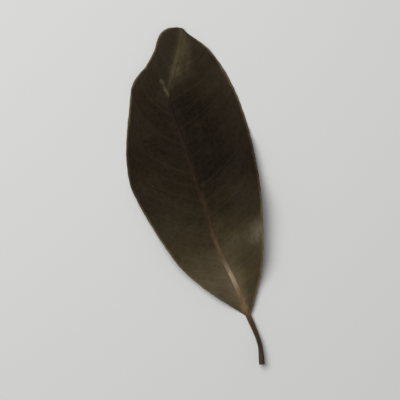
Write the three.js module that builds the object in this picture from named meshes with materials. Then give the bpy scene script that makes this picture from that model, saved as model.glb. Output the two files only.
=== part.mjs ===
// A dried bay laurel leaf, lying upper face up on a flat surface. Millimetres, +Z up.
// The stalk, the midrib and the blade grew as one piece, so they are one closed solid.
// X runs across the blade and Y from the stalk to the tip. The origin is under the middle of the leaf,
// on the surface that it lies on.

import * as THREE from 'three';
import { mergeVertices } from 'three/addons/utils/BufferGeometryUtils.js';

// Plan of the leaf, measured from the cut end of the stalk: [across, along]
const STALK_PATH = [[0.5, 0], [1.2, 4.8], [0.8, 9.2], [0, 13.6]];
const RIB_PATH = [[0, 13.6], [-1.4, 23], [-3.5, 33.5], [-4.1, 44], [-5.1, 53], [-5.9, 63], [-6.8, 71.5],
  [-6.3, 76.4], [-4.2, 80.6], [-0.9, 86.8], [1.3, 92.6]];
const LEFT_MARGIN = [[-4.4, 17.4], [-9.2, 22.7], [-14.4, 30], [-18.3, 39.6], [-21.2, 49], [-22.4, 56],
  [-21.2, 64.5], [-17.9, 74.8], [-15.2, 81.4], [-10.6, 85.2], [-7.6, 88.6], [-5.2, 92.3],
  [-2.8, 93.6], [0, 93.4]];
const RIGHT_MARGIN = [[3.1, 17.8], [7.2, 26.8], [9.6, 36.5], [11.4, 47], [12.1, 59], [11.6, 69],
  [9.8, 78.3], [6.7, 85.7], [2.1, 91.5]];

// Heights above the surface, at stations along the blade from its base (0) to its tip (1)
const STATIONS = [0, 0.15, 0.3, 0.45, 0.6, 0.75, 0.9, 1];
const RIB_HEIGHT = [0.7, 0.8, 2.1, 4.5, 6.6, 7.1, 4.6, 1.1];
const LEFT_HEIGHT = [0.7, 2.9, 3.4, 1.6, 0, 0.6, 1.8, 0.7];
const RIGHT_HEIGHT = [0.7, 3.8, 6.6, 4.6, 1.5, -0.1, 0.5, 0.2];
const STALK_END_HEIGHT = 2.4;
const ARCH_POWER = 1.45;      // how the blade bends between the rib and its margins

// Thickness of the blade, and of the rib and stalk that stand out of it
const BLADE_THICKNESS = 0.78;
const RIM_BEAD = 0.06;        // how much the rim is thicker on each face
const STALK_RADIUS = 0.6;
const STALK_FOOT_RADIUS = 0.76;   // the swollen end that sat on the twig
const FOOT_LENGTH = 0.35;     // as a share of the stalk
const JOIN_START = 0.5;       // where the stalk begins to widen and flatten into the rib
const STALK_FLANK = 0.35;     // half the height of the stalk's side, as a share of its radius
const RIB_RADIUS = 0.72;      // at the blade's base
const RIB_TIP_RADIUS = 0.25;
const RIB_RISE = 0.45;        // rise over the upper face, as a share of its radius
const RIB_DROP = 0.95;        // and under the lower face

// Side veins: how many, how far they lean towards the tip, the share of that which comes near the
// margin, how far they stand out, and how much of that they lose on the way to the margin. The
// right-hand veins leave the rib between the left-hand ones.
const VEINS = { pairs: 10, sweep: 0.62, bend: 0.3, relief: 0.3, taper: 0.7, rightShift: 0.5 };
// The net between them: thread is its threads' half width, as a share of a mesh
const NET = { relief: 0.13, thread: 0.4, fade: 6 };
const PUFF = 0.1;             // the blade swells between its side veins
const WING_FADE = 6;          // where the blade is narrower than this, its relief fades out
const WAVES = { height: 0.5, count: 5.5, shift: 0.2 };
const DIMPLES = { height: 0.5, along: 19, across: 7, skew: 2, turn: 5 };
const TIP_CREASE = { start: 0.8, full: 0.91, height: 0.9, width: 1.7 };

// How finely the solid is faceted
const ROWS_PER_VEIN = 8;
const STALK_ROWS = 9;
const RIB_COLUMNS = 3;
const BLADE_COLUMNS = 11;
const WELD_DISTANCE = 1e-3;

const { lerp, smoothstep } = THREE.MathUtils;
const curveThrough = (pairs) => new THREE.SplineCurve(pairs.map(([x, y]) => new THREE.Vector2(x, y)));

// The value at one place along the blade, on a smooth curve through one value for each station
function profile(values) {
  const curve = curveThrough(STATIONS.map((station, i) => [station, values[i]]));
  return (along) => {
    let span = STATIONS.findIndex((station) => station > along);
    if (span < 0) span = STATIONS.length - 1;
    const within = (along - STATIONS[span - 1]) / (STATIONS[span] - STATIONS[span - 1]);
    return curve.getPoint((span - 1 + within) / (STATIONS.length - 1)).y;
  };
}

const ribHeight = profile(RIB_HEIGHT);
const leftHeight = profile(LEFT_HEIGHT);
const rightHeight = profile(RIGHT_HEIGHT);

// The rib and both margins are curves walked from the blade's base to its tip
const stalkCurve = curveThrough(STALK_PATH);
const ribCurve = curveThrough(RIB_PATH);
const [baseX, baseY] = RIB_PATH[0];
const leftCurve = curveThrough([[baseX - RIB_RADIUS, baseY], ...LEFT_MARGIN]);
const rightCurve = curveThrough([[baseX + RIB_RADIUS, baseY], ...RIGHT_MARGIN]);

// 1 on a whole number and 0 a given distance away from it
function ridge(phase, width) {
  const distance = Math.abs(phase - Math.round(phase));
  return Math.max(0, 1 - distance / width);
}

// Side veins follow the rows of the solid, so vein is a whole number on each of them. Between two of
// them the net runs in staggered meshes, like brickwork: two courses deep, each two columns long.
function veinRelief(vein, out) {
  const sideVein = VEINS.relief * ridge(vein, 1 / ROWS_PER_VEIN) * (1 - VEINS.taper * out);
  const course = Math.floor(vein * 2);
  const crossThread = ridge(out * BLADE_COLUMNS / 2 + (course % 2) / 2, NET.thread);
  const longThread = ridge(vein * 2, 2 / ROWS_PER_VEIN);
  const fade = Math.min(1, NET.fade * out, NET.fade * (1 - out));
  return Math.max(sideVein, NET.relief * fade * Math.max(crossThread, longThread));
}

// One point of the blade: side is -1 or 1, row its place along the rib from 0 to 1, out its place from
// the rib's edge (0) to the margin (1), and inRib the angle round the rib where it is on the rib.
function bladePoint(side, row, out, inRib) {
  const along = row + VEINS.sweep * row * (1 - row) * lerp(out, out ** 3, VEINS.bend);
  const rib = ribCurve.getPointAt(along);
  const margin = (side < 0 ? leftCurve : rightCurve).getPointAt(along);
  const halfWidth = rib.distanceTo(margin);
  const radius = Math.min(lerp(RIB_RADIUS, RIB_TIP_RADIUS, along), halfWidth);
  const reach = inRib === null ? radius + (halfWidth - radius) * out : radius * Math.sin(inRib);
  const across = reach / halfWidth;

  const edgeHeight = side < 0 ? leftHeight(along) : rightHeight(along);
  const arch = lerp(ribHeight(along), edgeHeight, across ** ARCH_POWER);
  const waving = Math.sin(2 * Math.PI * (WAVES.count * along + WAVES.shift * side));
  const wave = WAVES.height * waving * across ** 3;
  const vein = row * VEINS.pairs + (side > 0 ? VEINS.rightShift : 0);
  const wing = smoothstep(halfWidth - radius, 0, WING_FADE);
  const puff = PUFF * wing * Math.sin(Math.PI * (vein - Math.floor(vein))) * Math.sin(Math.PI * out);
  const crease = TIP_CREASE.height * Math.exp(-((reach / TIP_CREASE.width) ** 2))
    * smoothstep(along, TIP_CREASE.start, TIP_CREASE.full) * (1 - smoothstep(along, TIP_CREASE.full, 1));
  const dimples = DIMPLES.height * across * (1 - across)
    * Math.sin(DIMPLES.along * along + DIMPLES.skew * side * across)
    * Math.sin(DIMPLES.across * side * across - DIMPLES.turn * along);

  const onRib = inRib === null ? 0 : radius * Math.cos(inRib);
  const relief = inRib === null && row < 1 ? wing * veinRelief(vein, out) : 0;
  const bead = out === 1 ? wing * RIM_BEAD : 0;
  const middle = arch + wave + puff + crease + dimples;
  return facePair(rib.lerp(margin, across), middle, BLADE_THICKNESS / 2 + bead + relief, onRib);
}

// One point of the stalk, which has the same columns as the rib
function stalkPoint(side, row, inRib) {
  const place = stalkCurve.getPointAt(row);
  const tangent = stalkCurve.getTangentAt(row);
  const foot = lerp(STALK_FOOT_RADIUS, STALK_RADIUS, smoothstep(row, 0, FOOT_LENGTH));
  const join = smoothstep(row, JOIN_START, 1);
  const radius = lerp(foot, RIB_RADIUS, join);
  const reach = side * radius * Math.sin(inRib);
  place.add(new THREE.Vector2(tangent.y, -tangent.x).multiplyScalar(reach));
  const middle = lerp(STALK_END_HEIGHT, RIB_HEIGHT[0], smoothstep(row, -0.2, 1));
  const flank = lerp(radius * STALK_FLANK, BLADE_THICKNESS / 2, join);
  return facePair(place, middle, flank, radius * Math.cos(inRib));
}

// The upper and lower face over one place. Nothing reaches under the surface that the leaf lies on, so
// the lowest places of the lower face are pressed flat.
function facePair(place, middle, half, onRib) {
  const lower = Math.max(0, middle - half - onRib * RIB_DROP);
  const upper = Math.max(lower + 2 * half, middle + half + onRib * RIB_RISE);
  return [new THREE.Vector3(place.x, place.y, upper), new THREE.Vector3(place.x, place.y, lower)];
}

// One row across the leaf, from the left margin to the right: half the rib and one wing on each side.
// On the stalk the blade's columns all close up on its edge, and welding makes one of them.
function crossRow(pointAt) {
  const [left, right] = [-1, 1].map((side) => {
    const columns = [];
    for (let i = 0; i <= RIB_COLUMNS; i += 1) {
      columns.push(pointAt(side, 0, (Math.PI / 2) * (i / RIB_COLUMNS)));
    }
    for (let i = 1; i <= BLADE_COLUMNS; i += 1) columns.push(pointAt(side, i / BLADE_COLUMNS, null));
    return columns;
  });
  return [...left.reverse(), ...right.slice(1)];
}

function leafRows() {
  const rows = [];
  for (let i = 0; i < STALK_ROWS; i += 1) {
    const row = i / STALK_ROWS;
    rows.push(crossRow((side, out, inRib) => stalkPoint(side, row, inRib ?? Math.PI / 2)));
  }
  const bladeRows = VEINS.pairs * ROWS_PER_VEIN;
  for (let i = 0; i <= bladeRows; i += 1) {
    rows.push(crossRow((side, out, inRib) => bladePoint(side, i / bladeRows, out, inRib)));
  }
  return rows;
}

// Both faces, the two rims and the two ends. Both faces are split into triangles along the same
// diagonals, so they never cross.
function leafGeometry() {
  const rows = leafRows();
  const lastRow = rows.length - 1;
  const lastColumn = rows[0].length - 1;
  const [upper, lower] = [0, 1];
  const vertex = (row, column, face) => (row * (lastColumn + 1) + column) * 2 + face;
  const index = [];
  const quad = ([near, beside, far, back]) => index.push(near, beside, far, near, far, back);
  const turned = ([near, beside, far, back]) => [near, back, far, beside];

  for (let row = 0; row < lastRow; row += 1) {
    for (let column = 0; column < lastColumn; column += 1) {
      const patch = (face) => [vertex(row, column, face), vertex(row, column + 1, face),
        vertex(row + 1, column + 1, face), vertex(row + 1, column, face)];
      quad(patch(upper));
      quad(turned(patch(lower)));
    }
    const rim = (column) => [vertex(row, column, upper), vertex(row + 1, column, upper),
      vertex(row + 1, column, lower), vertex(row, column, lower)];
    quad(rim(0));
    quad(turned(rim(lastColumn)));
  }
  for (let column = 0; column < lastColumn; column += 1) {
    const end = (row) => [vertex(row, column, upper), vertex(row, column, lower),
      vertex(row, column + 1, lower), vertex(row, column + 1, upper)];
    quad(end(0));
    quad(turned(end(lastRow)));
  }

  const loose = new THREE.BufferGeometry();
  const positions = rows.flat(2).flatMap((point) => point.toArray());
  loose.setAttribute('position', new THREE.Float32BufferAttribute(positions, 3));
  loose.setIndex(index);
  return dropEmptyTriangles(mergeVertices(loose, WELD_DISTANCE));
}

// Where columns close up, welding leaves triangles with a repeated corner
function dropEmptyTriangles(geometry) {
  const corners = geometry.getIndex().array;
  const kept = [];
  for (let i = 0; i < corners.length; i += 3) {
    const triangle = corners.slice(i, i + 3);
    if (new Set(triangle).size === 3) kept.push(...triangle);
  }
  geometry.setIndex(kept);
  geometry.computeVertexNormals();
  return geometry;
}

const geometry = leafGeometry();
geometry.computeBoundingBox();
const { min, max } = geometry.boundingBox;
geometry.translate(-(min.x + max.x) / 2, -(min.y + max.y) / 2, -min.z);

const driedLeaf = new THREE.MeshStandardMaterial({ color: 0x3a3222, roughness: 0.6, metalness: 0 });
const leaf = new THREE.Mesh(geometry, driedLeaf);
leaf.name = 'bay_leaf';

const group = new THREE.Group();
group.add(leaf);

export default group;
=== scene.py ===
"""One dried bay laurel leaf, lying upper face up: its looks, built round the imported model."""

import math

import bmesh
import bpy
import numpy as np
from mathutils import Matrix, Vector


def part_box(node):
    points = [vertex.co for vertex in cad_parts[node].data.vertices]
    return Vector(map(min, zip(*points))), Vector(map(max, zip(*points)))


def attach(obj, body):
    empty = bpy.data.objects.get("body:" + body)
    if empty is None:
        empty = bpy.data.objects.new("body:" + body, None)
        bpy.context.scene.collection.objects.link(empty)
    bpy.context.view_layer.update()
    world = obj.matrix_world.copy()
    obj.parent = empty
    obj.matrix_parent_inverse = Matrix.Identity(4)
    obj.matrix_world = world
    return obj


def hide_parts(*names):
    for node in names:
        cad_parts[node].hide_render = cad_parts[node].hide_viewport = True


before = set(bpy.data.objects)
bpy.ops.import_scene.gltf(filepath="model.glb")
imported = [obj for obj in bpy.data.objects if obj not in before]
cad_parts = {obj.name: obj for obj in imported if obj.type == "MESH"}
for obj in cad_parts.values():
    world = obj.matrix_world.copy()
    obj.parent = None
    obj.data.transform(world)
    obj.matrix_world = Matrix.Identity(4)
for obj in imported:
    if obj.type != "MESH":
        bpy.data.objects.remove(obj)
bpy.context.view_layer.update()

# ---- The leaf's plain form --------------------------------------------------------------------------
# The stalk runs on as the midrib, and the blade grew out of both its sides, so it is all one skin. As it
# dried, the blade arched over its upper two thirds, stayed a trough near the stalk and curled up at its
# lower right margin. All sizes here are in millimetres, from the cut end of the stalk.

MM = 0.001

STALK_PATH = [(0.5, 0), (1.2, 4.8), (0.8, 9.2), (0, 13.6)]
RIB_PATH = [(0, 13.6), (-1.4, 23), (-3.5, 33.5), (-4.1, 44), (-5.1, 53), (-5.9, 63), (-6.8, 71.5),
            (-6.3, 76.4), (-4.2, 80.6), (-0.9, 86.8), (1.3, 92.6)]
LEFT_MARGIN = [(-4.4, 17.4), (-9.2, 22.7), (-14.4, 30), (-18.3, 39.6), (-21.2, 49), (-22.4, 56),
               (-21.2, 64.5), (-17.9, 74.8), (-15.2, 81.4), (-10.6, 85.2), (-7.6, 88.6), (-5.2, 92.3),
               (-2.8, 93.6), (0, 93.4)]
RIGHT_MARGIN = [(3.1, 17.8), (7.2, 26.8), (9.6, 36.5), (11.4, 47), (12.1, 59), (11.6, 69),
                (9.8, 78.3), (6.7, 85.7), (2.1, 91.5)]

# Heights above the surface, at stations along the blade from its base (0) to its tip (1)
STATIONS = [0, 0.15, 0.3, 0.45, 0.6, 0.75, 0.9, 1]
RIB_HEIGHT = [0.7, 0.8, 2.1, 4.5, 6.6, 7.1, 4.6, 1.1]
LEFT_HEIGHT = [0.7, 2.9, 3.4, 1.6, 0, 0.6, 1.8, 0.7]
RIGHT_HEIGHT = [0.7, 3.8, 6.6, 4.6, 1.5, -0.1, 0.5, 0.2]
ARCH_POWER = 1.45        # above 1, the blade is rounder by the rib and steeper by the margin

BLADE_LENGTH = 80
BLADE_THICKNESS = 0.36
SOLID_HALF = 0.39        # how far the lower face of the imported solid's blade is under its middle
SOFTNESS = 0.12          # how softly the lower face comes down on the surface
WING_FADE = 6            # half a blade narrower than this has fainter veins, bulges and nibbles
RIM_BEAD = {"height": 0.05, "start": 0.4, "full": 0.1}     # it starts and is full this far from the rim
RIM_BULGE = 0.14
NIBBLES = {"depth": 0.02, "counts": (23, 41, 67)}          # the margin is never quite even

# The stalk and the rib. Starts and ends are shares of the stalk's length, and RIB_EDGE's of the blade's
STALK_RADIUS = 0.6
STALK_FOOT = {"radius": 0.76, "end": 0.35}
STALK_JOIN_START = 0.5
STALK_END_HEIGHT = 2.4
STALK_FALL_START = -0.2  # it comes down to the blade as if from before its cut end
STALK_FLANK = 0.35
STALK_CROWN = 1.5        # how much rounder the stalk is on top than the rib
STALK_GROOVE = {"depth": 0.2, "narrow": 6, "start": 0.1, "full": 0.3, "close": 0.75}
RIB_RADIUS = 0.72
RIB_TIP_RADIUS = 0.25
RIB_RISE = 0.45
RIB_DROP = 0.95
# The rib's colour fades into the blade between two distances from the rib's middle, in rib radii: the
# outer one is greatest at the blade's base, and grows a little again further up
RIB_EDGE = {"inner": 0.45, "base": 2.6, "above": 1.2, "base_end": 0.07, "more": 0.5,
            "more_over": (0.2, 0.32)}

VEIN_PAIRS = 10
VEIN_SWEEP = 0.62
VEIN_BEND = 0.3
RIGHT_VEIN_SHIFT = 0.5
PUFF = 0.1               # the flesh between two side veins
WAVES = {"height": 0.5, "count": 5.5, "shift": 0.2, "power": 3}
DIMPLES = {"height": 0.5, "along": 19, "across": 7, "skew": 2, "turn": 5}
TIP_CREASE = {"start": 0.8, "full": 0.91, "height": 0.9, "width": 1.7}
TIP_ROUND = {"start": 0.98, "height": 0.16, "towards": (0.67, 0.74)}
# Four marks, in plan, each with a half width: a sharp little fold left of the rib's bend, which stands
# up a little and carries a painted highlight, a pale streak by the rib's end with a fainter one on its
# right, both painted highlights on the tip's creases, and a painted sheen where the lower right margin
# curls.
FOLD_MARK = {"points": [(-6.7, 75.9), (-7.1, 77.9), (-7.7, 80.3)], "width": 0.6}
FOLD_HEIGHT = 0.2
TIP_STREAK = {"points": [(-3.1, 81.4), (-1.0, 85.2), (0.6, 88.6), (1.3, 91.2)], "width": 1.5}
SIDE_STREAK = {"points": [(-0.1, 81.2), (0.3, 83), (0.7, 84.8), (1.2, 87.2)], "width": 1.1}
SIDE_STREAK_STRENGTH = 0.5
CURL_SHEEN_MARK = {"points": [(2.0, 33.2), (5.5, 33.9), (9.4, 35.6)], "width": 2.8}

BLADE_ROWS = 320
STALK_ROWS = 56
RIB_COLUMNS = 6
WING_COLUMNS = 61
WALK_STEPS = 600
STEP_AHEAD = 0.01        # the stalk's direction is read this far on, as a share of its length
NEVER_ZERO = 1e-9        # to divide by where two points may meet
WELD_DISTANCE = 0.002
# The scar on the stalk's end: each ring's share of the stalk's width, and how far it stands out
SCAR_RINGS = [(0.94, 0.14), (0.82, 0.2), (0.62, 0.12), (0.34, 0.04)]


def part_way(start, end, share):
    return start + (end - start) * share


def rising(value, low, high):
    """0 up to the low value, 1 from the high one on, and a smooth rise between them."""
    share = np.clip((value - low) / (high - low), 0, 1)
    return share * share * (3 - 2 * share)


def spline(points, place):
    """The smooth curve through the points, at places counted in points from the first."""
    points = np.asarray(points, float)
    last = len(points) - 1
    at = np.clip(np.floor(place), 0, last - 1).astype(int)
    t = (place - at)[..., None]
    before, start, end, after = (points[np.clip(at + step, 0, last)] for step in (-1, 0, 1, 2))
    leave, arrive = (end - before) / 2, (after - start) / 2
    return ((2 * start - 2 * end + leave + arrive) * t ** 3
            + (3 * end - 3 * start - 2 * leave - arrive) * t ** 2 + leave * t + start)


def walk(points, share):
    """Places on that curve, at shares of its length."""
    places = np.linspace(0, len(points) - 1, WALK_STEPS)
    steps = np.linalg.norm(np.diff(spline(points, places), axis=0), axis=1)
    length = np.concatenate(([0], np.cumsum(steps)))
    return spline(points, np.interp(share * length[-1], length, places))


def height_at(values, along):
    """A height at places along the blade, on a smooth curve through one value for each station."""
    place = np.interp(along, STATIONS, range(len(STATIONS)))
    return spline([(value,) for value in values], place)[..., 0]


def settle(height):
    """Nothing reaches under the surface that the leaf lies on."""
    return (height + np.sqrt(height ** 2 + SOFTNESS ** 2)) / 2


def nearness(place, mark):
    """1 on a mark's line, fading to 0 beside it and past its ends."""
    near = np.zeros(place.shape[:-1])
    for start, end in zip(np.array(mark["points"][:-1]), np.array(mark["points"][1:])):
        run = end - start
        share = np.clip(((place - start) @ run) / (run @ run), 0, 1)
        distance = np.linalg.norm(place - start - share[..., None] * run, axis=-1)
        near = np.maximum(near, np.exp(-(distance / mark["width"]) ** 2))
    return near


def column_angles():
    """How far round the rib each column lies: a quarter turn, and then all of the wing."""
    quarter = math.pi / 2
    return np.concatenate((np.linspace(0, quarter, RIB_COLUMNS + 1), np.full(WING_COLUMNS, quarter)))


def blade_half(side, margin, edge_heights):
    """One half of the blade with its half of the rib: rows from base to tip, columns outwards."""
    base = np.array(RIB_PATH[0]) + (side * RIB_RADIUS, 0)
    row = np.linspace(0, 1, BLADE_ROWS + 1)[:, None]
    out = np.concatenate((np.zeros(RIB_COLUMNS + 1), np.linspace(0, 1, WING_COLUMNS + 1)[1:]))
    angle = column_angles()

    # in plan: each row sweeps forward as the side veins do, from the rib to the nibbled margin
    along = row + VEIN_SWEEP * row * (1 - row) * part_way(out, out ** 3, VEIN_BEND)
    rib = walk(RIB_PATH, along)
    edge = walk([base, *margin], along)
    half_width = np.linalg.norm(edge - rib, axis=-1)
    nibble = sum(np.sin(count * math.pi * along + count + side) for count in NIBBLES["counts"])
    nibble *= NIBBLES["depth"] * rising(half_width, 0, WING_FADE)
    edge += (edge - rib) * (nibble / np.maximum(half_width, WING_FADE / 2))[..., None]
    half_width = np.linalg.norm(edge - rib, axis=-1)
    radius = np.minimum(part_way(RIB_RADIUS, RIB_TIP_RADIUS, along), half_width)
    reach = radius * np.sin(angle) + (half_width - radius) * out
    across = reach / half_width
    place = rib + (edge - rib) * across[..., None]
    end = TIP_ROUND["height"] * rising(row, TIP_ROUND["start"], 1) * (1 - across ** 2)
    place += end[..., None] * TIP_ROUND["towards"]

    # the height of the blade's middle
    arch = part_way(height_at(RIB_HEIGHT, along), height_at(edge_heights, along), across ** ARCH_POWER)
    waving = np.sin(2 * math.pi * (WAVES["count"] * along + WAVES["shift"] * side))
    wave = WAVES["height"] * waving * across ** WAVES["power"]
    vein = np.broadcast_to(row * VEIN_PAIRS + (RIGHT_VEIN_SHIFT if side > 0 else 0), along.shape)
    wing = rising(half_width - radius, 0, WING_FADE)
    puff = PUFF * wing * np.sin(math.pi * (vein % 1)) * np.sin(math.pi * out)
    crease = (TIP_CREASE["height"] * np.exp(-(reach / TIP_CREASE["width"]) ** 2)
              * rising(along, TIP_CREASE["start"], TIP_CREASE["full"])
              * (1 - rising(along, TIP_CREASE["full"], 1)))
    dimples = (DIMPLES["height"] * across * (1 - across)
               * np.sin(DIMPLES["along"] * along + DIMPLES["skew"] * side * across)
               * np.sin(DIMPLES["across"] * side * across - DIMPLES["turn"] * along))
    fold = nearness(place, FOLD_MARK)
    middle = arch + wave + puff + crease + dimples + FOLD_HEIGHT * fold

    # and of its two faces, with the rib standing out of both
    rib_height = np.where(out > 0, 0, radius * np.cos(angle))
    rise = rising(reach, half_width - RIM_BEAD["start"], half_width - RIM_BEAD["full"])
    bead = RIM_BEAD["height"] * wing * rise
    upper = settle(middle - SOLID_HALF) + BLADE_THICKNESS + rib_height * RIB_RISE + bead
    lower = settle(middle - SOLID_HALF - rib_height * RIB_DROP) - bead

    edge_of_rib = (part_way(RIB_EDGE["base"], RIB_EDGE["above"], rising(along, 0, RIB_EDGE["base_end"]))
                   + RIB_EDGE["more"] * rising(along, *RIB_EDGE["more_over"]))
    side_streak = SIDE_STREAK_STRENGTH * nearness(place, SIDE_STREAK)
    facts = {
        "along": along, "across": side * across, "out": np.broadcast_to(out, along.shape), "vein": vein,
        "wing": wing, "rim_distance": np.minimum(half_width - reach, (1 - along) * BLADE_LENGTH),
        "on_rib": 1 - rising(reach / RIB_RADIUS, RIB_EDGE["inner"], edge_of_rib), "fold": fold,
        "streak": np.maximum(nearness(place, TIP_STREAK), side_streak),
        "rubbed": nearness(place, CURL_SHEEN_MARK),
    }
    return place, upper, lower, facts


def stalk_half(side, foot_height, foot_thickness):
    """The same columns on the stalk, where all those of the blade close up on its edge."""
    row = np.linspace(0, 1, STALK_ROWS, endpoint=False)[:, None]
    angle = column_angles()
    centre = walk(STALK_PATH, row[:, 0])
    ahead = walk(STALK_PATH, row[:, 0] + STEP_AHEAD) - centre
    ahead /= np.linalg.norm(ahead, axis=1)[:, None]
    sideways = np.stack((ahead[:, 1], -ahead[:, 0]), axis=-1)
    slim = part_way(STALK_FOOT["radius"], STALK_RADIUS, rising(row, 0, STALK_FOOT["end"]))
    radius = part_way(slim, RIB_RADIUS, rising(row, STALK_JOIN_START, 1))
    place = centre[:, None] + sideways[:, None] * (side * radius * np.sin(angle))[..., None]

    fall = rising(row, STALK_FALL_START, 1)
    flank = radius * STALK_FLANK
    low_edge = part_way(STALK_END_HEIGHT - flank, foot_height, fall)
    high_edge = part_way(STALK_END_HEIGHT + flank, foot_height + foot_thickness, fall)
    round_height = radius * np.cos(angle)
    groove = (STALK_GROOVE["depth"] * np.cos(angle) ** STALK_GROOVE["narrow"]
              * rising(row, STALK_GROOVE["start"], STALK_GROOVE["full"])
              * (1 - rising(row, STALK_GROOVE["close"], 1)))
    upper = high_edge + round_height * RIB_RISE * part_way(STALK_CROWN, 1, fall) - groove
    lower = settle(low_edge - round_height * RIB_DROP)

    facts = {"along": row - 1, "across": side * np.sin(angle), "rim_distance": radius, "on_rib": 1,
             "out": 0, "vein": 0, "wing": 0, "fold": 0, "streak": 0, "rubbed": 0}
    facts = {key: np.broadcast_to(values, upper.shape) for key, values in facts.items()}
    return place, upper, lower, facts


def whole_rows():
    """Plan, upper and lower heights and facts of every row, from the left margin to the right."""
    halves = []
    for side, margin, heights in ((-1, LEFT_MARGIN, LEFT_HEIGHT), (1, RIGHT_MARGIN, RIGHT_HEIGHT)):
        *blade, blade_facts = blade_half(side, margin, heights)
        foot_height = blade[2][0, -1]
        *stalk, stalk_facts = stalk_half(side, foot_height, blade[1][0, -1] - foot_height)
        facts = {key: np.concatenate((stalk_facts[key], blade_facts[key])) for key in blade_facts}
        halves.append(([np.concatenate(pair) for pair in zip(stalk, blade)], facts))
    (left, left_facts), (right, right_facts) = halves

    def both(left_values, right_values):
        return np.concatenate((left_values[:, ::-1], right_values[:, 1:]), axis=1)

    facts = {key: both(left_facts[key], right_facts[key]) for key in left_facts}
    return [both(*pair) for pair in zip(left, right)], facts


def rim_points(plan, top, bottom, wing):
    """The points halfway down the rim on the right and on the left, where it bulges out."""
    rims = []
    for column, inner in ((-1, -2), (0, 1)):
        outwards = plan[:, column] - plan[:, inner]
        outwards /= np.maximum(np.linalg.norm(outwards, axis=1), NEVER_ZERO)[:, None]
        bulge = outwards * (RIM_BULGE * wing[:, column])[:, None]
        centre = (top[:, column] + bottom[:, column]) / 2
        rims.append((centre + np.concatenate((bulge, 0 * centre[:, :1]), axis=1))[:, None])
    return rims


def leaf_skin(name):
    """The closed skin of stalk, rib and blade, with what each point knows of its place as attributes."""
    (plan, upper, lower), facts = whole_rows()
    top = np.concatenate((plan, upper[..., None]), axis=-1)
    bottom = np.concatenate((plan, lower[..., None]), axis=-1)
    columns = top.shape[1]

    # one ring of points round each row: the upper face, the right rim, the lower face, the left rim
    right_rim, left_rim = rim_points(plan, top, bottom, facts["wing"])
    rings = np.concatenate((top, right_rim, bottom[:, ::-1], left_rim), axis=1)
    centre = rings[0].mean(axis=0)
    scar = [centre + (rings[0] - centre) * share + (0, -push, 0) for share, push in SCAR_RINGS]
    rings = np.concatenate((np.array(scar[::-1]), rings))

    def round_the_ring(upper_values, lower_values):
        ring = np.concatenate((upper_values, upper_values[:, -1:], lower_values[:, ::-1],
                               upper_values[:, :1]), axis=1)
        return np.concatenate((np.repeat(ring[:1], len(SCAR_RINGS), axis=0), ring))

    facts = {key: round_the_ring(values, values) for key, values in facts.items()}
    facts["face"] = round_the_ring(np.ones_like(upper), -np.ones_like(upper))
    facts["face"][:, (columns, -1)] = 0
    facts["scar"] = np.zeros(rings.shape[:2])
    facts["scar"][:len(SCAR_RINGS)] = 1

    # faces between the rings, across the blade's tip and on the stalk's end
    index = np.arange(rings.shape[0] * rings.shape[1]).reshape(rings.shape[:2])
    following = np.roll(index, -1, axis=1)
    faces = np.stack((index[:-1], following[:-1], following[1:], index[1:]), axis=-1)
    faces = faces.reshape(-1, 4).tolist()
    last = index[-1].tolist()
    under = [last[2 * columns - column] for column in range(columns)]
    for column in range(columns - 1):
        faces.append([last[column], last[column + 1], under[column + 1], under[column]])
    faces.append([last[columns - 1], last[columns], under[columns - 1]])
    faces.append([last[0], under[0], last[-1]])
    faces.append(index[0].tolist())

    mesh = bpy.data.meshes.new(name)
    mesh.from_pydata((rings.reshape(-1, 3) * MM).tolist(), [], faces)
    for key, values in facts.items():
        layer = mesh.attributes.new(key, "FLOAT", "POINT")
        layer.data.foreach_set("value", values.reshape(-1).astype(np.float32))

    # the columns that close up on the stalk become one, and the faces between them go
    shape = bmesh.new()
    shape.from_mesh(mesh)
    bmesh.ops.remove_doubles(shape, verts=shape.verts, dist=WELD_DISTANCE * MM)
    bmesh.ops.recalc_face_normals(shape, faces=shape.faces)
    shape.to_mesh(mesh)
    shape.free()
    return mesh


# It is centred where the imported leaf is, and rests on the same surface
skin = leaf_skin("leaf_skin")
corners = np.array([vertex.co for vertex in skin.vertices])
lowest, highest = corners.min(axis=0), corners.max(axis=0)
shift = np.mean(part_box("bay_leaf"), axis=0) - (lowest + highest) / 2
skin.transform(Matrix.Translation((shift[0], shift[1], -lowest[2])))
skin.shade_smooth()
leaf = bpy.data.objects.new("leaf", skin)
bpy.context.scene.collection.objects.link(leaf)

# ---- The veins, raised out of the skin --------------------------------------------------------------
# Ten pairs of side veins leave the rib, bend over before the margin and join in a scalloped line. A
# weaker vein starts between every two of them, and a net fills the meshes. As the flesh shrank in
# drying, all of them came to stand out, on the lower face more than on the upper one.

# Sizes and distances are in millimetres, and how far a vein wanders is in vein spacings. Strengths and
# width shares are of a side vein's own. Loops and fades lie at shares of the way from the rib to the
# margin, and the fibres' change at shares of the blade's length.
VEIN_SIZES = {
    "Side Vein Height": 0.1, "Side Vein Height Below": 0.24, "Side Vein Spacing": 6.2,
    "Side Vein Width": 0.4, "Width Share By Rib": 1.1, "Width Share By Margin": 0.6,
    "Wander": 0.16, "Wander Size": 9.0, "Wander Seed": 4.0,
    "Loop Place": 0.72, "Loop Depth": 0.14, "Loop Strength": 0.6,
    "Fade Before Loop": -0.02, "Fade Past Loop": 0.12, "Strength Past Loop": 0.25,
    "Between Strength": 0.55, "Between Fade Start": 0.3, "Between Fade End": 0.62,
    "Bare Rim": 0.15, "Rim Fade": 0.9, "Narrow Wing": 0.5,
    "Net Height": 0.035, "Net Height Below": 0.09, "Net Mesh": 1.7, "Net Width": 0.3,
    "Fibre Height": 0.07, "Fibre Width": 0.42, "Fibre Seed": 7.0,
    "Fibre Strength On Stalk": 2.0, "Fibre Strength On Rib": 0.6,
    "Fibre Change Start": -0.1, "Fibre Change End": 0.35,
    "Wrinkle Height": 0.16, "Wrinkle Size": 5.5, "Wrinkle Seed": 2.0,
}
FIBRE_STRETCH = (1.0, 0.12, 1.0)     # fibres run lengthwise
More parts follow.
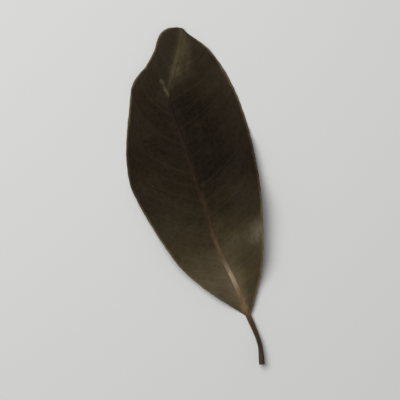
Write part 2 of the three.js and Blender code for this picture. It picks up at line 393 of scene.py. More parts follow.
IN_PLAN = (1.0, 1.0, 0.0)            # so a wrinkle goes through the blade's whole thickness
NET_WANDER = {"scale": 0.8, "reach": 1.1}     # how fast and how far it strays, by the size of a mesh
FACE_SPLIT = -0.25                   # the points of the rim, at 0, go with the upper face
JUST_PAST_MARGIN = 1.001             # so that the last point of a wing isn't divided by nothing


def feed(tree, socket, value):
    """Joins a socket to another socket, or sets it to a plain value."""
    if isinstance(value, bpy.types.NodeSocket):
        tree.links.new(value, socket)
    else:
        socket.default_value = value


def add_node(tree, kind, inputs, **settings):
    """A new node with its settings, and its inputs by name or number."""
    made = tree.nodes.new(kind)
    for name, value in settings.items():
        setattr(made, name, value)
    for name, value in inputs.items():
        feed(tree, made.inputs[name], value)
    return made


def maths(tree, operation, *values):
    """The result of a sum, a difference and so on, of sockets or numbers."""
    return add_node(tree, "ShaderNodeMath", dict(enumerate(values)), operation=operation).outputs[0]


def times(tree, first, *others):
    """The product of two or more of them."""
    for other in others:
        first = maths(tree, "MULTIPLY", first, other)
    return first


def away(tree, value, middle):
    """How far a value is from a middle one."""
    return maths(tree, "ABSOLUTE", maths(tree, "SUBTRACT", value, middle))


def ease(tree, value, low, high, start=0.0, end=1.0):
    """From start to end as the value goes from low to high, smoothly at both ends."""
    inputs = {"Value": value, "From Min": low, "From Max": high, "To Min": start, "To Max": end}
    return add_node(tree, "ShaderNodeMapRange", inputs, interpolation_type="SMOOTHSTEP").outputs[0]


def noise(tree, vector, size, detail=2.0, seed=0.0):
    """Soft noise round 0.5, with lumps of a size."""
    inputs = {"Vector": vector, "W": seed, "Scale": maths(tree, "DIVIDE", 1.0, size), "Detail": detail}
    return add_node(tree, "ShaderNodeTexNoise", inputs, noise_dimensions="4D").outputs[0]


def swing(tree, *noise_values, **noise_settings):
    """The same noise round 0."""
    return maths(tree, "SUBTRACT", noise(tree, *noise_values, **noise_settings), 0.5)


def scaled(tree, vector, scale):
    """A vector made longer: a number for all of it, or one for each axis."""
    if isinstance(scale, tuple):
        made = add_node(tree, "ShaderNodeVectorMath", {0: vector, 1: scale}, operation="MULTIPLY")
    else:
        made = add_node(tree, "ShaderNodeVectorMath", {0: vector, "Scale": scale}, operation="SCALE")
    return made.outputs[0]


def moved(tree, vector, step):
    """A vector with another added to it."""
    return add_node(tree, "ShaderNodeVectorMath", {0: vector, 1: step}, operation="ADD").outputs[0]


def net_threads(tree, vector, mesh, width):
    """1 on the threads of an uneven net, 0 in its meshes."""
    inputs = {"Vector": vector, "Scale": maths(tree, "DIVIDE", NET_WANDER["scale"], mesh)}
    stray = add_node(tree, "ShaderNodeTexNoise", inputs).outputs["Color"]
    vector = moved(tree, vector, scaled(tree, stray, times(tree, mesh, NET_WANDER["reach"])))
    inputs = {"Vector": vector, "Scale": maths(tree, "DIVIDE", 1.0, mesh)}
    edge = add_node(tree, "ShaderNodeTexVoronoi", inputs, feature="DISTANCE_TO_EDGE").outputs["Distance"]
    return ease(tree, edge, 0.0, maths(tree, "DIVIDE", width, mesh), 1.0, 0.0)


def vein_tree():
    """The tree that raises the veins, stores how strong they are and gives each face its material."""
    tree = bpy.data.node_groups.new("raise_the_veins", "GeometryNodeTree")
    tree.is_modifier = True
    tree.interface.new_socket("Leaf", in_out="OUTPUT", socket_type="NodeSocketGeometry")
    tree.interface.new_socket("Leaf", in_out="INPUT", socket_type="NodeSocketGeometry")
    for name in VEIN_SIZES:
        tree.interface.new_socket(name, in_out="INPUT", socket_type="NodeSocketFloat")
    for name in ("Upper Face", "Lower Face", "Stalk"):
        tree.interface.new_socket(name, in_out="INPUT", socket_type="NodeSocketMaterial")
    size = tree.nodes.new("NodeGroupInput").outputs

    def fact(name):
        named = add_node(tree, "GeometryNodeInputNamedAttribute", {"Name": name}, data_type="FLOAT")
        return named.outputs["Attribute"]

    position = tree.nodes.new("GeometryNodeInputPosition").outputs[0]
    place = scaled(tree, position, 1 / MM)
    out, face, along, wing = fact("out"), fact("face"), fact("along"), fact("wing")
    on_rib, rim_distance = fact("on_rib"), fact("rim_distance")
    above = ease(tree, face, -1.0, 1.0)

    # side veins: a whole number of veins along, but for how far each of them strays
    stray = swing(tree, place, size["Wander Size"], seed=size["Wander Seed"])
    stray = times(tree, stray, size["Wander"])
    vein = maths(tree, "ADD", fact("vein"), stray)
    width = times(tree, size["Side Vein Width"],
                  ease(tree, out, 0.0, 1.0, size["Width Share By Rib"], size["Width Share By Margin"]))

    def ridge(distance):
        return ease(tree, distance, 0.0, width, 1.0, 0.0)

    def across_veins(phase):
        return times(tree, maths(tree, "PINGPONG", phase, 0.5), size["Side Vein Spacing"])

    scallop = maths(tree, "ABSOLUTE", maths(tree, "SINE", times(tree, vein, math.pi)))
    scallop = maths(tree, "MULTIPLY_ADD", scallop, size["Loop Depth"], size["Loop Place"])
    past_loop = maths(tree, "SUBTRACT", out, scallop)
    half_width = maths(tree, "DIVIDE", rim_distance, maths(tree, "SUBTRACT", JUST_PAST_MARGIN, out))
    loop = ridge(times(tree, maths(tree, "ABSOLUTE", past_loop), half_width))
    loop = times(tree, loop, size["Loop Strength"])
    side = times(tree, ridge(across_veins(vein)),
                 ease(tree, past_loop, size["Fade Before Loop"], size["Fade Past Loop"],
                      1.0, size["Strength Past Loop"]))
    between = times(tree, ridge(across_veins(maths(tree, "ADD", vein, 0.5))),
                    ease(tree, out, size["Between Fade Start"], size["Between Fade End"], 1.0, 0.0),
                    size["Between Strength"])
    tone = maths(tree, "MAXIMUM", maths(tree, "MAXIMUM", side, between), loop)

    # they belong to the blade only: not to the rib, the stalk or the last of the rim
    blade = times(tree, ease(tree, wing, 0.0, size["Narrow Wing"]),
                  ease(tree, on_rib, 0.0, 1.0, 1.0, 0.0),
                  ease(tree, rim_distance, size["Bare Rim"], size["Rim Fade"]))
    tone = times(tree, tone, blade)
    net = times(tree, net_threads(tree, place, size["Net Mesh"], size["Net Width"]), blade,
                maths(tree, "SUBTRACT", 1.0, tone))

    vein_height = ease(tree, above, 0.0, 1.0, size["Side Vein Height Below"], size["Side Vein Height"])
    net_height = ease(tree, above, 0.0, 1.0, size["Net Height Below"], size["Net Height"])
    raised = maths(tree, "MULTIPLY_ADD", tone, vein_height, times(tree, net, net_height))

    # the stalk shrank into lengthwise fibres, which run on into the rib
    fibres = swing(tree, scaled(tree, place, FIBRE_STRETCH), size["Fibre Width"],
                   seed=size["Fibre Seed"])
    fibres = times(tree, fibres,
                   ease(tree, along, size["Fibre Change Start"], size["Fibre Change End"],
                        size["Fibre Strength On Stalk"], size["Fibre Strength On Rib"]),
                   times(tree, on_rib, size["Fibre Height"]))
    raised = times(tree, maths(tree, "ADD", raised, fibres), MM)
    normal = tree.nodes.new("GeometryNodeInputNormal").outputs[0]
    new_place = moved(tree, position, scaled(tree, normal, raised))

    # the whole blade is a little wrinkled, and nothing goes under the surface that it lies on
    wrinkle = swing(tree, scaled(tree, place, IN_PLAN), size["Wrinkle Size"], detail=3.0,
                    seed=size["Wrinkle Seed"])
    wrinkle = times(tree, wrinkle, size["Wrinkle Height"], times(tree, wing, 2 * MM))
    parts = add_node(tree, "ShaderNodeSeparateXYZ", {0: new_place}).outputs
    height = maths(tree, "MAXIMUM", maths(tree, "ADD", parts["Z"], wrinkle), 0.0)
    new_place = add_node(tree, "ShaderNodeCombineXYZ", {"X": parts["X"], "Y": parts["Y"], "Z": height})

    leaf_now = size["Leaf"]
    for name, value in (("vein_tone", tone), ("net_tone", net)):
        inputs = {"Geometry": leaf_now, "Name": name, "Value": value}
        stored = add_node(tree, "GeometryNodeStoreNamedAttribute", inputs, data_type="FLOAT",
                          domain="POINT")
        leaf_now = stored.outputs[0]
    inputs = {"Geometry": leaf_now, "Position": new_place.outputs[0]}
    leaf_now = add_node(tree, "GeometryNodeSetPosition", inputs).outputs[0]
    leaf_now = add_node(tree, "GeometryNodeRealizeInstances", {"Geometry": leaf_now}).outputs[0]
    upward = maths(tree, "GREATER_THAN", face, FACE_SPLIT)
    downward = maths(tree, "LESS_THAN", face, FACE_SPLIT)
    on_stalk = maths(tree, "LESS_THAN", along, 0.0)
    for name, choice in (("Upper Face", upward), ("Lower Face", downward), ("Stalk", on_stalk)):
        inputs = {"Geometry": leaf_now, "Selection": choice, "Material": size[name]}
        leaf_now = add_node(tree, "GeometryNodeSetMaterial", inputs).outputs[0]
    feed(tree, tree.nodes.new("NodeGroupOutput").inputs["Leaf"], leaf_now)
    return tree


upper_face = bpy.data.materials.new("leaf_upper_face")
lower_face = bpy.data.materials.new("leaf_lower_face")
stalk_bark = bpy.data.materials.new("leaf_stalk")

raising = leaf.modifiers.new("raise_the_veins", "NODES")
raising.node_group = vein_tree()
chosen = {**VEIN_SIZES, "Upper Face": upper_face, "Lower Face": lower_face, "Stalk": stalk_bark}
for item in raising.node_group.interface.items_tree:
    if item.in_out == "INPUT" and item.name in chosen:
        raising[item.identifier] = chosen[item.name]
depsgraph = bpy.context.evaluated_depsgraph_get()
veined = bpy.data.meshes.new_from_object(leaf.evaluated_get(depsgraph), preserve_all_data_layers=True,
                                         depsgraph=depsgraph)
leaf.modifiers.remove(raising)
leaf.data = veined
veined.name = "leaf_skin_veined"
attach(leaf, "root")
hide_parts("bay_leaf")

# ---- What all the leaf's finishes share -------------------------------------------------------------
# Two shader groups. One paints the rib, the side veins, the net and the thin dried rim over a blade
# colour. The other is drying and handling: uneven blotches, fine grain, small specks and pores.

# Sizes are in millimetres. A band is the two values between which something goes from nothing to full.
RAGGED_SIZE = 1.3
RIM_RAGGED = {"least": 0.2, "more": 1.8}         # shares of the rim's width
RIM_START = 0.05                                 # as a share of the blade's length
RIB_FRAY = 0.5
RIB_BAND = (0.2, 0.75)
RIB_FIBRE = {"width": 0.3, "band": (0.3, 0.7), "tones": (0.8, 1.2)}
BLOTCH = {"band": (0.42, 0.66), "seed": 11.0}
BLOOM = {"band": (0.5, 0.74), "seed": 31.0, "size": 0.55, "rougher": 0.12}     # its size is in blotches
STREAKS = {"a_vein": 5.0, "seed": 23.0}
CELLS = {"mesh": 0.62, "thread": 0.16, "on_rib": 0.1, "lighter": 0.35, "height": 0.45}
FINE = {"size": 0.35, "seed": 5.0, "height": 0.5, "rougher": 0.1}
SPECKS = {"spacing": 2.3, "reach": (0.06, 0.14), "patches": 3.0, "band": (0.55, 0.62), "seed": 19.0}
PORES = {"size": 0.16, "seed": 3.0}


def tint(red, green, blue):
    """A colour as it is given, 0 to 255, made linear."""
    linear = []
    for share in (red / 255, green / 255, blue / 255):
        linear.append(share / 12.92 if share <= 0.04045 else ((share + 0.055) / 1.055) ** 2.4)
    return (*linear, 1)


def blend(tree, share, under, over):
    """The colour over laid on the colour under; the node's sockets for colours have only numbers."""
    made = add_node(tree, "ShaderNodeMix", {0: share, 6: under, 7: over}, data_type="RGBA")
    return made.outputs[2]


def shared_group(name, inputs, outputs):
    """An empty shader group with its named sockets; gives its tree, what comes in and what goes out."""
    tree = bpy.data.node_groups.new(name, "ShaderNodeTree")
    kinds = {"Color": "NodeSocketColor", "Vector": "NodeSocketVector"}
    for in_out, names in (("INPUT", inputs), ("OUTPUT", outputs)):
        for socket in names:
            kind = kinds.get(socket.split()[-1], "NodeSocketFloat")
            tree.interface.new_socket(socket, in_out=in_out, socket_type=kind)
    return tree, tree.nodes.new("NodeGroupInput").outputs, tree.nodes.new("NodeGroupOutput").inputs


def read(tree, name):
    """A fact about the place, from the mesh."""
    return add_node(tree, "ShaderNodeAttribute", {}, attribute_name=name).outputs["Fac"]


def leaf_place(tree):
    """Object coordinates in millimetres."""
    return scaled(tree, tree.nodes.new("ShaderNodeTexCoord").outputs["Object"], 1 / MM)


def drawing_group():
    names = ["Blade Color", "Vein Color", "Vein Strength", "Net Color", "Net Strength", "Rib Color",
             "Rim Color", "Rim Width", "Rim Strength"]
    tree, given, result = shared_group("leaf_veins_and_rib", names, ["Color"])
    net = times(tree, read(tree, "net_tone"), given["Net Strength"])
    colour = blend(tree, net, given["Blade Color"], given["Net Color"])
    vein = times(tree, read(tree, "vein_tone"), given["Vein Strength"])
    colour = blend(tree, vein, colour, given["Vein Color"])

    place = leaf_place(tree)
    ragged = noise(tree, place, RAGGED_SIZE)
    width = times(tree, given["Rim Width"],
                  maths(tree, "MULTIPLY_ADD", ragged, RIM_RAGGED["more"], RIM_RAGGED["least"]))
    rim = times(tree, ease(tree, read(tree, "rim_distance"), 0.0, width, 1.0, 0.0),
                ease(tree, read(tree, "along"), 0.0, RIM_START))
    colour = blend(tree, times(tree, rim, given["Rim Strength"]), colour, given["Rim Color"])

    fray = maths(tree, "MULTIPLY_ADD", ragged, RIB_FRAY, -RIB_FRAY / 2)
    frayed = maths(tree, "ADD", read(tree, "on_rib"), fray)
    fibre = noise(tree, scaled(tree, place, FIBRE_STRETCH), RIB_FIBRE["width"], detail=3.0)
    rib = scaled(tree, given["Rib Color"], ease(tree, fibre, *RIB_FIBRE["band"], *RIB_FIBRE["tones"]))
    colour = blend(tree, ease(tree, frayed, *RIB_BAND), colour, rib)
    feed(tree, result["Color"], colour)
    return tree


def drying_group():
    names = ["Place Vector", "Color", "Blotch Color", "Blotch Size", "Blotch Amount", "Bloom Color",
             "Bloom Amount", "Streaks", "Grain", "Speck Color", "Speck Amount", "Pore Depth"]
    tree, given, result = shared_group("drying_marks", names, ["Color", "Roughness", "Height"])
    place = given["Place Vector"]
    blotch = noise(tree, place, given["Blotch Size"], detail=4.0, seed=BLOTCH["seed"])
    blotch = times(tree, ease(tree, blotch, *BLOTCH["band"]), given["Blotch Amount"])
    colour = blend(tree, blotch, given["Color"], given["Blotch Color"])
    bloom_size = times(tree, given["Blotch Size"], BLOOM["size"])
    bloom = ease(tree, noise(tree, place, bloom_size, detail=5.0, seed=BLOOM["seed"]), *BLOOM["band"])
    colour = blend(tree, times(tree, bloom, given["Bloom Amount"]), colour, given["Bloom Color"])

    # faint streaks run with the side veins: the noise is drawn out from the rib to the margin
    drawn_out = add_node(tree, "ShaderNodeCombineXYZ", {
        0: times(tree, read(tree, "vein"), STREAKS["a_vein"]), 1: read(tree, "across")}).outputs[0]
    streaks = swing(tree, drawn_out, 1.0, detail=3.0, seed=STREAKS["seed"])

    # fine grain: the cells of the dried flesh between the threads of a net too fine to stand out
    cells = times(tree, net_threads(tree, place, CELLS["mesh"], CELLS["thread"]),
                  ease(tree, read(tree, "on_rib"), 0.0, 1.0, 1.0, CELLS["on_rib"]))
    fine = noise(tree, place, FINE["size"], detail=3.0, seed=FINE["seed"])
    grain = maths(tree, "ADD", times(tree, cells, CELLS["lighter"]), maths(tree, "SUBTRACT", fine, 0.5))
    grain = maths(tree, "MULTIPLY_ADD", grain, given["Grain"], 1.0)
    grain = maths(tree, "MULTIPLY_ADD", streaks, given["Streaks"], grain)
    colour = scaled(tree, colour, grain)

    # specks keep to some patches of the leaf
    inputs = {"Vector": place, "Scale": 1 / SPECKS["spacing"]}
    centres = add_node(tree, "ShaderNodeTexVoronoi", inputs, feature="F1").outputs["Distance"]
    patches = ease(tree, noise(tree, place, SPECKS["patches"], seed=SPECKS["seed"]), *SPECKS["band"])
    speck = times(tree, ease(tree, centres, *SPECKS["reach"], 1.0, 0.0), patches, given["Speck Amount"])
    colour = blend(tree, speck, colour, given["Speck Color"])

    pores = noise(tree, place, PORES["size"], seed=PORES["seed"])
    height = maths(tree, "MULTIPLY_ADD", cells, CELLS["height"], times(tree, fine, FINE["height"]))
    height = maths(tree, "MULTIPLY_ADD", pores, given["Pore Depth"], height)
    rougher = maths(tree, "MULTIPLY_ADD", bloom, BLOOM["rougher"], times(tree, fine, FINE["rougher"]))
    feed(tree, result["Color"], colour)
    feed(tree, result["Roughness"], rougher)
    feed(tree, result["Height"], height)
    return tree


drawing = drawing_group()
drying = drying_group()


def placed(tree, group, values):
    """One of the shared groups with a material's own values, where three numbers are a tint."""
    made = add_node(tree, "ShaderNodeGroup", {}, node_tree=group)
    for name, value in values.items():
        feed(tree, made.inputs[name], tint(*value) if isinstance(value, tuple) else value)
    return made.outputs


def ramp(tree, value, stops):
    """Colours that follow one another at places from 0 to 1."""
    made = add_node(tree, "ShaderNodeValToRGB", {0: value})
    made.color_ramp.interpolation = "EASE"
    elements = made.color_ramp.elements
    while len(elements) < len(stops):
        elements.new(0.5)
    for element, (place, colour) in zip(elements, stops):
        element.position = place
        element.color = tint(*colour)
    return made.outputs[0]


# The rib and the stalk are bark-brown at the leaf's foot, pale where the blade begins, which is their
# own bleached colour with a painted highlight on the rib's top, reddish above that, and sink into the
# blade's own brown; only their last centimetre is pale again. Stalk and blade share one run of colours,
# from the cut end (0) over the blade's base (STALK_SHARE) to the tip (1).
STALK_SHARE = 0.15
RIB_RUN = [(0.0, (60, 52, 42)), (0.06, (52, 38, 25)), (0.12, (66, 47, 30)), (0.18, (106, 83, 59)),
           (0.22, (116, 95, 72)), (0.265, (152, 135, 114)), (0.335, (86, 68, 50)), (0.45, (55, 43, 30)),
           (0.6, (41, 32, 24)), (0.77, (33, 25, 19)), (0.87, (58, 49, 34)), (1.0, (60, 51, 35))]


def rib_colour(tree, colours):
    """The rib's or the stalk's colour from such a run."""
    along = read(tree, "along")
    over_stalk = maths(tree, "ADD", maths(tree, "MINIMUM", along, 0.0), 1.0)
    over_blade = maths(tree, "MAXIMUM", along, 0.0)
    run = maths(tree, "ADD", times(tree, over_stalk, STALK_SHARE),
                times(tree, over_blade, 1 - STALK_SHARE))
    return ramp(tree, run, colours)


def finish(tree, marked, roughness, specular, bump):
    """Joins the marked colour, the roughness and the fine relief to the material's own shader."""
    shader = tree.nodes["Principled BSDF"]
    feed(tree, shader.inputs["Base Color"], marked["Color"])
    feed(tree, shader.inputs["Roughness"], maths(tree, "ADD", marked["Roughness"], roughness))
    shader.inputs["Specular IOR Level"].default_value = specular
    inputs = {"Height": marked["Height"], "Strength": 1.0, "Distance": bump * MM}
    feed(tree, shader.inputs["Normal"], add_node(tree, "ShaderNodeBump", inputs).outputs[0])


# ---- The upper face ---------------------------------------------------------------------------------
# Satin and nearly smooth. It is olive near the stalk and dried to a dark brown above, darkest on the
# right of the rib. Its veins show only faintly and its rim is thin and pale. Painted highlights lie
# along the fold and the streaks by the tip, a painted sheen where the lower right margin curls and
# painted light by the rib at the blade's base, and painted shade along the middle of the left margin.

# Along goes from the blade's base (0) to its tip (1), and across from the left margin (-1) over the rib
# (0) to the right one (1). A fade is two values that something changes between, and two strengths or
# reaches are those at the first and the second of them, or on the left and on the right of the rib.
LEFT_RUN = [(0.0, (67, 59, 43)), (0.12, (78, 70, 54)), (0.2, (70, 62, 44)), (0.265, (50, 43, 28)),
            (0.45, (35, 28, 18)), (0.62, (27, 21, 14)), (1.0, (41, 34, 24))]
RIGHT_RUN = [(0.0, (64, 56, 39)), (0.15, (60, 52, 35)), (0.3, (54, 47, 31)), (0.4, (36, 30, 19)),
             (0.52, (25, 19, 13)), (0.7, (25, 19, 13)), (0.85, (42, 35, 25)), (1.0, (54, 46, 32))]
RUN_STRAY = {"size": 11.0, "reach": 0.16}
RIGHT_SIDE = (-0.06, 0.1)
LIGHTER_TOP = {"colour": (54, 46, 36), "across": (0.35, 1.0), "along": (0.45, 0.72),
               "strengths": (0.25, 0.6)}
# Painted shade: darker along the left margin about the blade's middle
SHADE_LEFT_MARGIN = {"colour": (26, 20, 12), "across": (-1.0, -0.5), "middle": 0.49, "fade": (0.03, 0.16),
               "strength": 0.6}
# Painted light: lighter by the rib on both sides near the blade's base
LIGHT_BY_RIB = {"colour": (108, 95, 74), "reaches": (1.0, 0.64), "along": (0.14, 0.27),
               "strength": 0.55}
UPPER_RIM = {"middle": 0.52, "fade": (0.05, 0.16), "strengths": (0.45, 1.0)}
UPPER_NET = {"along": (0.2, 0.45), "strengths": (0.13, 0.05)}
UPPER_DRAWING = {"Vein Color": (84, 72, 52), "Vein Strength": 0.06, "Net Color": (84, 72, 52),
                 "Rim Color": (92, 81, 59), "Rim Width": 0.6}

# A noise breaks the painted highlights and the painted sheen up, and their fades are between two values
# of it
HIGHLIGHT_BREAKS = {"size": 0.9, "seed": 8.0}
FOLD_HIGHLIGHT = {"colour": (78, 71, 56), "fade": (0.35, 0.6), "strengths": (0.35, 1.0), "start": 0.1,
              "most": 0.7}
STREAK_HIGHLIGHT = {"colour": (73, 65, 47), "fade": (0.3, 0.6), "strengths": (0.7, 1.0)}
CURL_SHEEN_PAINT = {"colour": (94, 86, 70), "fade": (0.3, 0.62), "strengths": (0.5, 1.0), "size": 0.8,
              "stretch": (1.0, 0.35, 1.0), "seed": 12.0, "across": (0.55, 0.95),
              "strengths_across": (0.2, 0.9)}
UPPER_DRYING = {"Blotch Color": (30, 22, 15), "Blotch Size": 7.0, "Blotch Amount": 0.3,
                "Bloom Color": (88, 80, 56), "Bloom Amount": 0.05, "Streaks": 0.7, "Grain": 0.3,
                "Speck Color": (20, 14, 10), "Speck Amount": 0.6, "Pore Depth": 0.35}


def upper_blade(tree, along, across):
    """The blade's own colour, before its veins are drawn on it."""
    stray = swing(tree, leaf_place(tree), RUN_STRAY["size"], detail=3.0)
    run = maths(tree, "ADD", along, times(tree, stray, RUN_STRAY["reach"]))
    right = ease(tree, across, *RIGHT_SIDE)
    blade = blend(tree, right, ramp(tree, run, LEFT_RUN), ramp(tree, run, RIGHT_RUN))

    from_rib = maths(tree, "ABSOLUTE", across)
    lighter = times(tree, ease(tree, from_rib, *LIGHTER_TOP["across"]),
                    ease(tree, along, *LIGHTER_TOP["along"]),
                    ease(tree, right, 0.0, 1.0, *LIGHTER_TOP["strengths"]))
    blade = blend(tree, lighter, blade, tint(*LIGHTER_TOP["colour"]))

    from_middle = away(tree, along, SHADE_LEFT_MARGIN["middle"])
    left_shade = times(tree, ease(tree, across, *SHADE_LEFT_MARGIN["across"], 1.0, 0.0),
                   ease(tree, from_middle, *SHADE_LEFT_MARGIN["fade"], 1.0, 0.0), SHADE_LEFT_MARGIN["strength"])
    blade = blend(tree, left_shade, blade, tint(*SHADE_LEFT_MARGIN["colour"]))

    reach = ease(tree, right, 0.0, 1.0, *LIGHT_BY_RIB["reaches"])
    pale = times(tree, ease(tree, from_rib, 0.0, reach, 1.0, 0.0),
                 ease(tree, along, *LIGHT_BY_RIB["along"], 1.0, 0.0), LIGHT_BY_RIB["strength"])
    return blend(tree, pale, blade, tint(*LIGHT_BY_RIB["colour"]))


def highlighted_face(tree, across, colour):
    """The colour with painted highlights on the streaks and the fold, and a painted sheen on the curl.
    """
    place = leaf_place(tree)
    breaks = noise(tree, place, HIGHLIGHT_BREAKS["size"], detail=3.0, seed=HIGHLIGHT_BREAKS["seed"])
    # painted highlights on the creases by the tip, broken up by the noise
    streak = times(tree, read(tree, "streak"),
                   ease(tree, breaks, *STREAK_HIGHLIGHT["fade"], *STREAK_HIGHLIGHT["strengths"]))
    colour = blend(tree, streak, colour, tint(*STREAK_HIGHLIGHT["colour"]))

    # a painted sheen where the lower right margin curls, drawn out into streaks
    sheen_breaks = noise(tree, scaled(tree, place, CURL_SHEEN_PAINT["stretch"]), CURL_SHEEN_PAINT["size"], detail=3.0,
                    seed=CURL_SHEEN_PAINT["seed"])
    rubbed = times(tree, read(tree, "rubbed"),
                   ease(tree, sheen_breaks, *CURL_SHEEN_PAINT["fade"], *CURL_SHEEN_PAINT["strengths"]),
                   ease(tree, across, *CURL_SHEEN_PAINT["across"], *CURL_SHEEN_PAINT["strengths_across"]))
    colour = blend(tree, rubbed, colour, tint(*CURL_SHEEN_PAINT["colour"]))

    # a painted highlight on the fold's top
    fold = times(tree, read(tree, "fold"),
                 ease(tree, breaks, *FOLD_HIGHLIGHT["fade"], *FOLD_HIGHLIGHT["strengths"]))
    fold = ease(tree, fold, FOLD_HIGHLIGHT["start"], 1.0, 0.0, FOLD_HIGHLIGHT["most"])
    return blend(tree, fold, colour, tint(*FOLD_HIGHLIGHT["colour"]))


def finish_upper_face():
    upper_face.use_nodes = True
    tree = upper_face.node_tree
    along, across = read(tree, "along"), read(tree, "across")
    from_middle = away(tree, along, UPPER_RIM["middle"])
    rim_strength = ease(tree, from_middle, *UPPER_RIM["fade"], *UPPER_RIM["strengths"])
    drawn = placed(tree, drawing, {
        **UPPER_DRAWING, "Blade Color": upper_blade(tree, along, across), "Rim Strength": rim_strength,
        "Net Strength": ease(tree, along, *UPPER_NET["along"], *UPPER_NET["strengths"]),
        "Rib Color": rib_colour(tree, RIB_RUN)})
    highlighted = highlighted_face(tree, across, drawn["Color"])
    marked = placed(tree, drying, {**UPPER_DRYING, "Place Vector": leaf_place(tree), "Color": highlighted})
    finish(tree, marked, roughness=0.42, specular=0.03, bump=0.03)


finish_upper_face()

# ---- The lower face ---------------------------------------------------------------------------------
# Paler, greyer and matt. Its veins and its net stand out further than on the upper face, and show as
# reddish threads.

LOWER_RUN = [(0.0, (98, 88, 66)), (0.3, (88, 77, 54)), (0.6, (76, 64, 45)), (1.0, (82, 70, 50))]
LOWER_RIB_RUN = [(0.1, (64, 45, 28)), (0.22, (118, 95, 68)), (0.5, (112, 86, 60)), (1.0, (104, 82, 58))]
LOWER_DRAWING = {"Vein Color": (106, 80, 56), "Vein Strength": 0.7, "Net Color": (104, 84, 60),
                 "Net Strength": 0.5, "Rim Color": (112, 98, 74), "Rim Width": 0.4, "Rim Strength": 1.0}
LOWER_DRYING = {"Blotch Color": (58, 44, 30), "Blotch Size": 8.0, "Blotch Amount": 0.3,
                "Bloom Color": (120, 112, 90), "Bloom Amount": 0.25, "Streaks": 0.6, "Grain": 0.3,
                "Speck Color": (34, 24, 16), "Speck Amount": 0.5, "Pore Depth": 0.6}


def finish_lower_face():
    lower_face.use_nodes = True
    tree = lower_face.node_tree
    blade = ramp(tree, read(tree, "along"), LOWER_RUN)
    drawn = placed(tree, drawing, {**LOWER_DRAWING, "Blade Color": blade,
                                   "Rib Color": rib_colour(tree, LOWER_RIB_RUN)})
    marked = placed(tree, drying, {**LOWER_DRYING, "Place Vector": leaf_place(tree),
                                   "Color": drawn["Color"]})
    finish(tree, marked, roughness=0.62, specular=0.2, bump=0.05)


finish_lower_face()

# ---- The stalk --------------------------------------------------------------------------------------
# Woody and matt, and shrunk into lengthwise fibres. Its foot is a little swollen, and ends in the grey
# scar where it broke off its twig.

BARK_STRETCH = (1.0, 0.14, 1.0)
BARK_FIBRE = {"colour": (44, 32, 23), "width": 0.3, "fade": (0.4, 0.65), "most": 0.5,
              "along": (-0.3, 0.0)}
SCAR = {"colour": (112, 102, 86), "strength": 0.8}
BARK_BLOTCHES = {"along": (-0.4, 0.0), "amounts": (0.35, 0.0)}
BARK_DRYING = {"Blotch Color": (40, 28, 20), "Blotch Size": 2.5, "Bloom Color": (110, 98, 80),
               "Bloom Amount": 0.1, "Streaks": 0.0, "Grain": 0.4, "Speck Color": (26, 18, 12),
               "Speck Amount": 0.5, "Pore Depth": 0.6}


def finish_stalk():
    stalk_bark.use_nodes = True
    tree = stalk_bark.node_tree
    along = read(tree, "along")
    lengthwise = scaled(tree, leaf_place(tree), BARK_STRETCH)
    fibre = noise(tree, lengthwise, BARK_FIBRE["width"], detail=3.0)
    fibre = times(tree, ease(tree, fibre, *BARK_FIBRE["fade"], 0.0, BARK_FIBRE["most"]),
                  ease(tree, along, *BARK_FIBRE["along"], 1.0, 0.0))
    bark = blend(tree, fibre, rib_colour(tree, RIB_RUN), tint(*BARK_FIBRE["colour"]))
    scar = times(tree, read(tree, "scar"), SCAR["strength"])
    bark = blend(tree, scar, bark, tint(*SCAR["colour"]))
    blotches = ease(tree, along, *BARK_BLOTCHES["along"], *BARK_BLOTCHES["amounts"])
    marked = placed(tree, drying, {**BARK_DRYING, "Place Vector": lengthwise, "Color": bark,
                                   "Blotch Amount": blotches})
    finish(tree, marked, roughness=0.5, specular=0.12, bump=0.05)


finish_stalk()

# ---- The floor, the light and the camera ------------------------------------------------------------
# A plain pale table top, a large soft lamp to the upper left of the view, and a camera straight above,
# turned so that the leaf leans to the left.

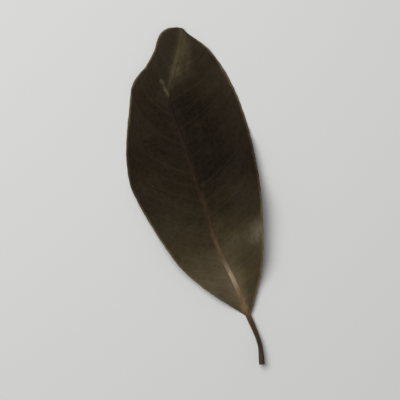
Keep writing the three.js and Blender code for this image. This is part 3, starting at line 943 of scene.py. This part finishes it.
LEAN = math.radians(13.82)
VIEW_WIDTH = 0.108
LENS = 180
SENSOR = 36
NEAREST_SEEN = 0.01
FLOOR_COLOUR = (0.6, 0.6, 0.59, 1)
FLOOR_ROUGHNESS = 0.7
ROOM_LIGHT = 0.24

floor_mesh = bpy.data.meshes.new("floor")
floor_mesh.from_pydata([(-1, -1, 0), (1, -1, 0), (1, 1, 0), (-1, 1, 0)], [], [(0, 1, 2, 3)])
floor = bpy.data.objects.new("floor", floor_mesh)
bpy.context.scene.collection.objects.link(floor)
pale = bpy.data.materials.new("pale_floor")
pale.use_nodes = True
pale.node_tree.nodes["Principled BSDF"].inputs["Base Color"].default_value = FLOOR_COLOUR
pale.node_tree.nodes["Principled BSDF"].inputs["Roughness"].default_value = FLOOR_ROUGHNESS
floor_mesh.materials.append(pale)

camera_data = bpy.data.cameras.new("camera")
camera_data.lens = LENS
camera_data.sensor_width = SENSOR
camera_data.clip_start = NEAREST_SEEN
camera = bpy.data.objects.new("camera", camera_data)
camera.location = (0, 0, VIEW_WIDTH * LENS / SENSOR)
camera.rotation_euler = (0, 0, -LEAN)
bpy.context.scene.collection.objects.link(camera)
bpy.context.scene.camera = camera


def soft_lamp(name, towards, height, distance, size, power):
    """A square lamp that looks at the leaf from a direction in the camera's view: (right, up)."""
    right, up = towards
    x = right * math.cos(LEAN) + up * math.sin(LEAN)
    y = -right * math.sin(LEAN) + up * math.cos(LEAN)
    data = bpy.data.lights.new(name, "AREA")
    data.size = size
    data.energy = power
    lamp = bpy.data.objects.new(name, data)
    place = np.array([x * distance, y * distance, height])
    lamp.location = place
    z = place / np.linalg.norm(place)
    lamp.rotation_euler = (math.acos(z[2]), 0, math.atan2(z[1], z[0]) + math.pi / 2)
    bpy.context.scene.collection.objects.link(lamp)


soft_lamp("key", towards=(-0.7, 0.7), height=0.62, distance=0.3, size=0.5, power=4.8)
world = bpy.data.worlds.new("room")
world.use_nodes = True
world.node_tree.nodes["Background"].inputs["Color"].default_value = (1, 1, 1, 1)
world.node_tree.nodes["Background"].inputs["Strength"].default_value = ROOM_LIGHT
bpy.context.scene.world = world
bpy.context.scene.view_settings.view_transform = "Standard"
